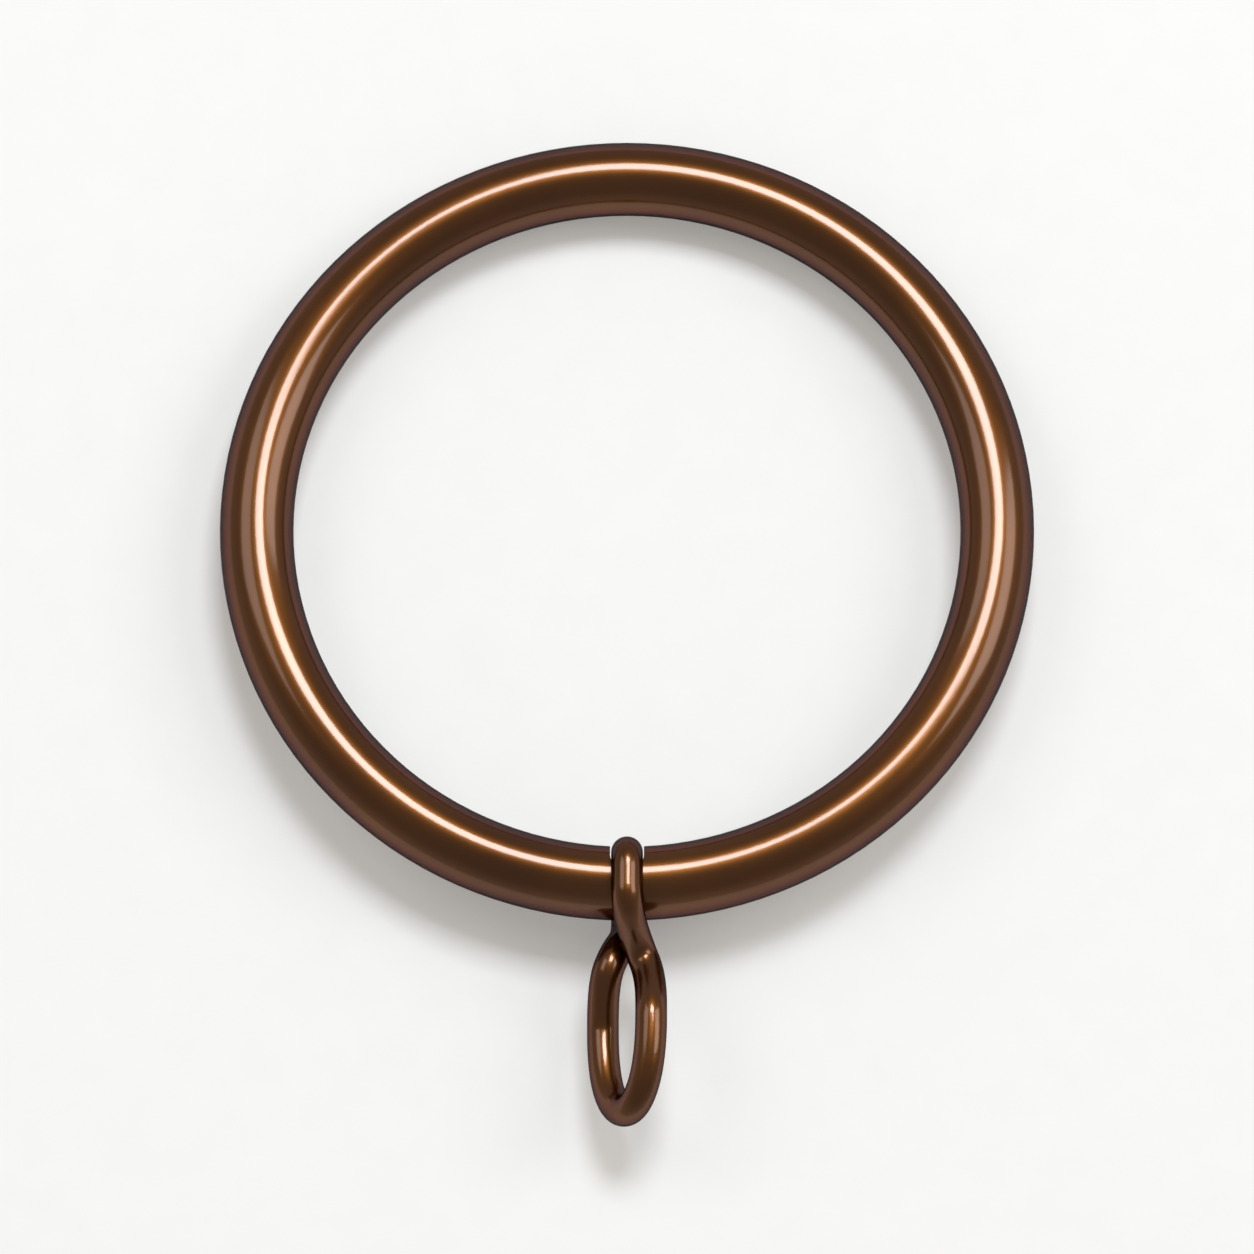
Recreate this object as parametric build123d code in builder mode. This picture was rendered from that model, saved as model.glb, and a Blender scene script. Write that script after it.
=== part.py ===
import os
from math import asin, cos, pi, radians, sin

from build123d import *

# A curtain ring of round wire, with a loose wire eyelet seated in a notch across the ring's inside.
# It lies at rest: the eyelet's wire passes under the ring and props that side up a little.
# The origin is the ring's centre, the eyelet points to -Y, and X runs across the ring.

# Driving dimensions of the ring, in millimetres
ring_inner_diameter = 38.0
ring_wire_diameter = 4.2

# Driving dimensions of the eyelet's wire, of its loop round the ring and of its fit in the notch
eyelet_wire_diameter = 1.8
notch_clearance = 0.06
strand_clearance = 0.1
bend_radius = 1.1
strand_run = 1.3

# Driving dimensions of the neck and the eye, with the eye turned about the eyelet's length
neck_gap = 2.6
neck_spread = 0.98
neck_depth = 0.5
neck_slope = 0.38
eye_offset = 3.65
eye_half_length = 5.0
eye_half_width = 2.32
eye_twist = 36.0

# How far each curve of the wire holds its heading, and how full the eye's sides and tip are
dive_handle = 1.6
rise_handle = 1.1
side_fullness = 0.68
tip_fullness = 0.5

# Radii and distances worked out from the driving dimensions
ring_wire_radius = ring_wire_diameter / 2
ring_radius = ring_inner_diameter / 2 + ring_wire_radius
eyelet_wire_radius = eyelet_wire_diameter / 2
notch_radius = eyelet_wire_radius + notch_clearance
notch_width = 2 * notch_radius
notch_inset = ring_wire_radius - eyelet_wire_radius
strand_height = ring_wire_radius + strand_clearance + eyelet_wire_radius
neck_reach = ring_wire_radius + neck_gap
eye_reach = neck_reach + eye_offset

# The ring leans on its far side and on the strand under its near side
prop_height = strand_height + eyelet_wire_radius - ring_wire_radius
prop_distance = 2 * ring_radius + bend_radius - notch_inset
rest_tilt = asin(prop_height / prop_distance)
across = Vector(1, 0, 0)
outward = Vector(0, -cos(rest_tilt), sin(rest_tilt))
upward = Vector(0, sin(rest_tilt), cos(rest_tilt))

# Points along one strand of the eyelet, from inside the notch to the tip of the eye
tube_centre = outward * ring_radius
notch_middle = tube_centre - outward * notch_inset
notch_end = notch_middle + upward * (strand_height - bend_radius)
bend_centre = notch_end + outward * bend_radius
bend_middle = bend_centre + (upward - outward) * bend_radius * cos(pi / 4)
over_ring = bend_centre + upward * bend_radius
strand_tip = over_ring + outward * strand_run
neck = tube_centre + outward * neck_reach + across * neck_spread + upward * neck_depth
neck_heading = outward + across * neck_slope
eye_middle = tube_centre + outward * eye_reach
eye_across = across * sin(radians(eye_twist)) + upward * cos(radians(eye_twist))
eye_side = eye_middle + eye_across * eye_half_width
eye_tip = eye_middle + outward * eye_half_length
side_handle = outward * eye_half_length * side_fullness
tip_handle = eye_across * eye_half_width * tip_fullness

# The ring: a closed ring of round wire, with a round-bottomed notch across its inside for the eyelet
with BuildPart() as ring:
    with BuildSketch(Plane(origin=tube_centre, x_dir=outward, z_dir=across)) as wire_section:
        Circle(ring_wire_radius)
    revolve(axis=Axis((0, 0, 0), upward))
    with BuildSketch(Plane(origin=notch_middle, x_dir=across, z_dir=upward)) as notch_section:
        Circle(notch_radius)
        with Locations((0, notch_radius)):
            Rectangle(notch_width, notch_width)
    extrude(amount=ring_wire_diameter, both=True, mode=Mode.SUBTRACT)

# The eyelet: one wire along the notch, over the ring, down to the neck and round the eye
with BuildPart() as eyelet:
    with BuildLine() as strand:
        Line(notch_middle, notch_end)
        ThreePointArc(notch_end, bend_middle, over_ring)
        Line(over_ring, strand_tip)
        Bezier(strand_tip, strand_tip + outward * dive_handle, neck - neck_heading * dive_handle, neck)
        Bezier(neck, neck + neck_heading * rise_handle, eye_side - outward * rise_handle, eye_side)
        Bezier(eye_side, eye_side + side_handle, eye_tip + tip_handle, eye_tip)
    with BuildSketch(Plane(origin=notch_middle, x_dir=across, z_dir=upward)) as strand_section:
        Circle(eyelet_wire_radius)
    sweep()
    # The other strand is the same bend turned half way round the eyelet's length
    add(eyelet.part.rotate(Axis((0, 0, 0), outward), 180))

ring.part.label = "ring"
eyelet.part.label = "eyelet"

os.makedirs("parts", exist_ok=True)
export_step(ring.part, "parts/ring.step")
export_step(eyelet.part, "parts/eyelet.step")
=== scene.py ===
from math import cos, radians, sin

import bmesh
import bpy
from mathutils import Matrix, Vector


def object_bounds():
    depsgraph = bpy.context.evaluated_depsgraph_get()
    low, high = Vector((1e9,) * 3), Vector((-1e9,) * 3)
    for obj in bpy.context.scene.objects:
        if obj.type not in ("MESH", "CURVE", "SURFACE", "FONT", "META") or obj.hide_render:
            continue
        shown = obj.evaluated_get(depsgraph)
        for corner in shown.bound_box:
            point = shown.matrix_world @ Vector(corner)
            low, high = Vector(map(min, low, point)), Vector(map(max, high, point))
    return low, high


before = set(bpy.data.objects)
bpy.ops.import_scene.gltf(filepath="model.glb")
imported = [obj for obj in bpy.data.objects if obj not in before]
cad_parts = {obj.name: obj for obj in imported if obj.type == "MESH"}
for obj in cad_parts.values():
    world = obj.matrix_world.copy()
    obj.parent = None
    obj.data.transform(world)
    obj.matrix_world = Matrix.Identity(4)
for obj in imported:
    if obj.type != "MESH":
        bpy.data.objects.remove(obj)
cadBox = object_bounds()
print("frame loaded:", sorted(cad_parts))

# The bronze finish of the ring: dark lacquered metal, a little uneven
ringBronze = {
    "dark": (0.098, 0.0295, 0.0020, 1.0),
    "light": (0.138, 0.0445, 0.0046, 1.0),
    "darkUpTo": 0.32,  # the tone goes from dark to light between these two
    "lightFrom": 0.68,
    "cloudScale": 95.0,
    "cloudDetail": 4.0,
    "edge": (0.12, 0.05, 0.015, 1.0),  # keeps the metal dark at the wire's rims
    "roughLow": 0.31,
    "roughHigh": 0.36,
    "grainScale": 900.0,
    "grainDetail": 2.0,
    "grainHeight": 0.000002,
    "coat": 0.115,  # a thin share of lacquer, which makes the line of light white
    "coatRoughness": 0.13,
    "coatIor": 4.0,
}
# The eyelet's wire is thinner, so its clouds and grain are finer
eyeletBronze = dict(ringBronze, cloudScale=210.0, grainScale=1400.0, grainHeight=0.000003)


def bronzeFinish(name, look):
    finish = bpy.data.materials.new(name)
    finish.use_nodes = True
    tree = finish.node_tree
    shader = tree.nodes["Principled BSDF"]
    shader.inputs["Metallic"].default_value = 1.0
    shader.inputs["Specular Tint"].default_value = look["edge"]
    shader.inputs["Coat Weight"].default_value = look["coat"]
    shader.inputs["Coat IOR"].default_value = look["coatIor"]
    shader.inputs["Coat Roughness"].default_value = look["coatRoughness"]

    coords = tree.nodes.new("ShaderNodeTexCoord")
    cloud = tree.nodes.new("ShaderNodeTexNoise")  # slow change of tone along the wire
    cloud.inputs["Scale"].default_value = look["cloudScale"]
    cloud.inputs["Detail"].default_value = look["cloudDetail"]
    tone = tree.nodes.new("ShaderNodeValToRGB")
    tone.color_ramp.elements[0].position = look["darkUpTo"]
    tone.color_ramp.elements[0].color = look["dark"]
    tone.color_ramp.elements[1].position = look["lightFrom"]
    tone.color_ramp.elements[1].color = look["light"]
    grain = tree.nodes.new("ShaderNodeTexNoise")  # fine unevenness of the metal
    grain.inputs["Scale"].default_value = look["grainScale"]
    grain.inputs["Detail"].default_value = look["grainDetail"]
    gloss = tree.nodes.new("ShaderNodeMapRange")
    gloss.inputs["To Min"].default_value = look["roughLow"]
    gloss.inputs["To Max"].default_value = look["roughHigh"]
    bump = tree.nodes.new("ShaderNodeBump")
    bump.inputs["Distance"].default_value = look["grainHeight"]

    link = tree.links.new
    link(coords.outputs["Object"], cloud.inputs["Vector"])
    link(coords.outputs["Object"], grain.inputs["Vector"])
    link(cloud.outputs["Fac"], tone.inputs["Fac"])
    link(tone.outputs["Color"], shader.inputs["Base Color"])
    link(grain.outputs["Fac"], gloss.inputs["Value"])
    link(gloss.outputs["Result"], shader.inputs["Roughness"])
    link(grain.outputs["Fac"], bump.inputs["Height"])
    link(bump.outputs["Normal"], shader.inputs["Normal"])
    return finish


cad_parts["ring"].data.materials[0] = bronzeFinish("ringBronze", ringBronze)
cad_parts["eyelet"].data.materials[0] = bronzeFinish("eyeletBronze", eyeletBronze)
print("bronze finish on ring and eyelet")

# A pale tabletop under the ring
tabletop = {
    "halfSide": 4.0,
    "low": (0.92, 0.92, 0.915, 1.0),
    "high": (0.95, 0.95, 0.945, 1.0),
    "paperScale": 400.0,
    "roughness": 0.9,
    "shine": 0.1,
    "ownWhite": 0.25,  # share of the floor's white that no shadow darkens
}
mesh = bpy.data.meshes.new("tabletop")
sheet = bmesh.new()
bmesh.ops.create_grid(sheet, x_segments=1, y_segments=1, size=tabletop["halfSide"])
bmesh.ops.translate(sheet, verts=sheet.verts, vec=(0.0, 0.0, cadBox[0][2]))
sheet.to_mesh(mesh)
sheet.free()
floor = bpy.data.objects.new("tabletop", mesh)
bpy.context.scene.collection.objects.link(floor)

pale = bpy.data.materials.new("tabletopPale")
pale.use_nodes = True
paleNodes = pale.node_tree.nodes
paleShader = paleNodes["Principled BSDF"]
paleShader.inputs["Roughness"].default_value = tabletop["roughness"]
paleShader.inputs["Specular IOR Level"].default_value = tabletop["shine"]
paleCoords = paleNodes.new("ShaderNodeTexCoord")
paper = paleNodes.new("ShaderNodeTexNoise")
paper.inputs["Scale"].default_value = tabletop["paperScale"]
paperTone = paleNodes.new("ShaderNodeValToRGB")
paperTone.color_ramp.elements[0].color = tabletop["low"]
paperTone.color_ramp.elements[1].color = tabletop["high"]
rays = paleNodes.new("ShaderNodeLightPath")
seenRays = paleNodes.new("ShaderNodeMath")  # what is looked at, straight or in the metal
seenRays.operation = "MAXIMUM"
whiteShare = paleNodes.new("ShaderNodeMath")
whiteShare.operation = "MULTIPLY"
whiteShare.inputs[1].default_value = tabletop["ownWhite"]
ownWhite = paleNodes.new("ShaderNodeEmission")
paleMix = paleNodes.new("ShaderNodeMixShader")

paleLink = pale.node_tree.links.new
paleLink(paleCoords.outputs["Object"], paper.inputs["Vector"])
paleLink(paper.outputs["Fac"], paperTone.inputs["Fac"])
paleLink(paperTone.outputs["Color"], paleShader.inputs["Base Color"])
paleLink(rays.outputs["Is Camera Ray"], seenRays.inputs[0])
paleLink(rays.outputs["Is Glossy Ray"], seenRays.inputs[1])
paleLink(seenRays.outputs["Value"], whiteShare.inputs[0])
paleLink(whiteShare.outputs["Value"], paleMix.inputs["Fac"])
paleLink(paperTone.outputs["Color"], ownWhite.inputs["Color"])
paleLink(paleShader.outputs["BSDF"], paleMix.inputs[1])
paleLink(ownWhite.outputs["Emission"], paleMix.inputs[2])
paleLink(paleMix.outputs["Shader"], paleNodes["Material Output"].inputs["Surface"])
floor.data.materials.append(pale)
print("tabletop at", round(cadBox[0][2], 5))

# The camera looks down on the ring from the eyelet's side, through a long lens
shot = {
    "elevation": 74.9,
    "distance": 1.0,
    "frameWidth": 0.07146,  # width of the picture at the ring
    "drop": 0.00557,  # brings the eyelet into the picture
    "sensor": 36.0,
}
viewLean = radians(shot["elevation"])
toCamera = Vector((0.0, -cos(viewLean), sin(viewLean)))
imageUp = Vector((0.0, sin(viewLean), cos(viewLean)))
imageRight = Vector((1.0, 0.0, 0.0))
lens = bpy.data.cameras.new("camera")
lens.sensor_width = shot["sensor"]
lens.lens = shot["sensor"] * shot["distance"] / shot["frameWidth"]
camera = bpy.data.objects.new("camera", lens)
camera.location = toCamera * shot["distance"] - imageUp * shot["drop"]
camera.rotation_euler = toCamera.to_track_quat("Z", "Y").to_euler()
bpy.context.scene.collection.objects.link(camera)
bpy.context.scene.camera = camera
print("camera at", [round(v, 4) for v in camera.location])

# Studio lamps a metre from the ring's centre, placed by how far they lean off the view
# and toward which side of the picture, counted from its right.
# The panel gives the metal its line of light and the main shadow.
# The soft lamp draws the shadow to one side, and it and the glow lamp lay a sheen beside the line.
lamps = {
    "panelLamp": {
        "lean": 41.5, "toward": 79.0,
        "wide": 0.38, "tall": 0.31,
        "power": 6.2, "tint": (0.89, 0.945, 1.0),
    },
    "softLamp": {
        "lean": 52.0, "toward": 27.0,
        "wide": 0.5, "tall": 0.5,
        "power": 2.4, "tint": (0.96, 0.96, 0.95),
    },
    "glowLamp": {
        "lean": 49.0, "toward": 138.0,
        "wide": 0.45, "tall": 0.45,
        "power": 1.2, "tint": (0.96, 0.96, 0.95),
    },
}
for name, lamp in lamps.items():
    lightData = bpy.data.lights.new(name, "AREA")
    lightData.shape = "RECTANGLE"
    lightData.size = lamp["wide"]
    lightData.size_y = lamp["tall"]
    lightData.energy = lamp["power"]
    lightData.color = lamp["tint"]
    lean = radians(lamp["lean"])
    toward = radians(lamp["toward"])
    toSide = imageRight * cos(toward) + imageUp * sin(toward)
    toLamp = toCamera * cos(lean) + toSide * sin(lean)
    light = bpy.data.objects.new(name, lightData)
    light.location = toLamp
    light.rotation_euler = toLamp.to_track_quat("Z", "Y").to_euler()
    bpy.context.scene.collection.objects.link(light)
print("lamps:", len(lamps))

# A room that is pale near the horizon and dim overhead
room = {
    "horizon": (0.46, 0.437, 0.405, 1.0),
    "overhead": (0.30, 0.268, 0.225, 1.0),
    "paleUpTo": 0.15,  # heights, from 0 at the horizon to 1 straight up
    "dimFrom": 0.55,
}
world = bpy.data.worlds.new("room")
world.use_nodes = True
bpy.context.scene.world = world
roomNodes = world.node_tree.nodes
roomCoords = roomNodes.new("ShaderNodeTexCoord")
height = roomNodes.new("ShaderNodeSeparateXYZ")
fade = roomNodes.new("ShaderNodeValToRGB")
fade.color_ramp.elements[0].position = room["paleUpTo"]
fade.color_ramp.elements[0].color = room["horizon"]
fade.color_ramp.elements[1].position = room["dimFrom"]
fade.color_ramp.elements[1].color = room["overhead"]
roomLink = world.node_tree.links.new
roomLink(roomCoords.outputs["Generated"], height.inputs["Vector"])
roomLink(height.outputs["Z"], fade.inputs["Fac"])
roomLink(fade.outputs["Color"], roomNodes["Background"].inputs["Color"])
bpy.context.scene.view_settings.view_transform = "Standard"
print("room light set")
